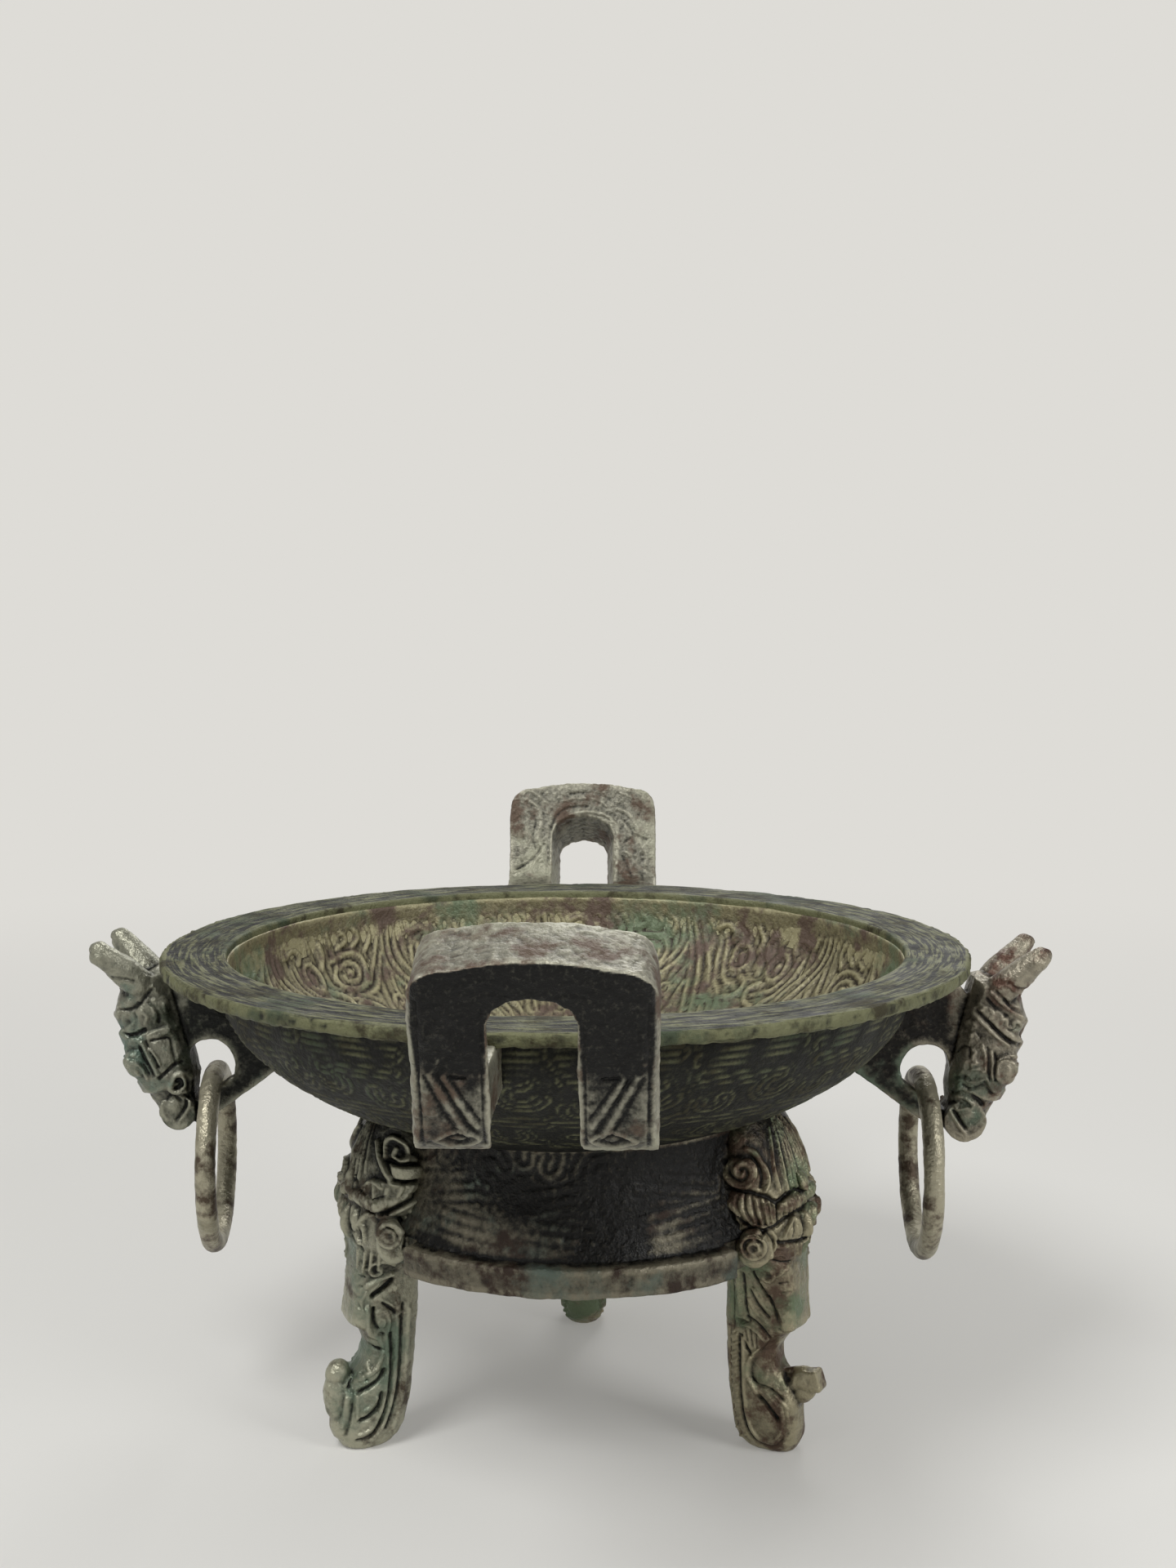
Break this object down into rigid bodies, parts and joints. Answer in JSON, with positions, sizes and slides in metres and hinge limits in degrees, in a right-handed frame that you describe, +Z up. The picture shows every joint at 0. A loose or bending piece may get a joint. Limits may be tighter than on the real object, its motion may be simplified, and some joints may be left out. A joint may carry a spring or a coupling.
{
  "type": "footed basin with ring handles",
  "caption": "Shallow bronze basin on elephant-head legs, with upright strap ears and horned beast-head lugs that carry free-hanging rings.",
  "frame": {"origin": "on the table, at the middle of the part's bounding box: under the middle of the basin", "axes": "+Z up out of the basin's mouth; +X from the left lug to the right lug; +Y from the front ear, the one nearest the camera, to the rear ear"},
  "size_m": [0.3324, 0.4102, 0.2061],
  "materials": {
    "basin_bronze": "cast bronze, dark brown with grey-green patina, ochre inside",
    "foot_bronze": "cast bronze, purple-brown with teal and cream patches",
    "ear_bronze": "cast bronze, grey-tan worn tops over dark sides",
    "leg_bronze": "cast bronze, grey-green and tan over dark recesses",
    "lug_bronze": "cast bronze, grey-green with red-brown patches",
    "ring_bronze": "cast bronze, worn tan with dark pits"
  },
  "bodies": {
    "vessel": {"bowl": "basin_bronze", "foot_ring": "foot_bronze", "ear_front": "ear_bronze", "ear_rear": "ear_bronze", "leg_rear": "leg_bronze", "leg_front_left": "leg_bronze", "leg_front_right": "leg_bronze", "lug_right": "lug_bronze", "lug_left": "lug_bronze"},
    "right_ring": {"ring_right": "ring_bronze"},
    "left_ring": {"ring_left": "ring_bronze"}
  },
  "joints": [
    {"name": "right_ring_swing", "type": "hinge", "parent": "vessel", "child": "right_ring", "pos_m": [0.126, 0, 0.119], "axis": [0, -1, 0], "range_deg": [-35, 120]},
    {"name": "left_ring_swing", "type": "hinge", "parent": "vessel", "child": "left_ring", "pos_m": [-0.126, 0, 0.119], "axis": [-0.1045, 0.9945, 0], "range_deg": [-35, 120]}
  ]
}
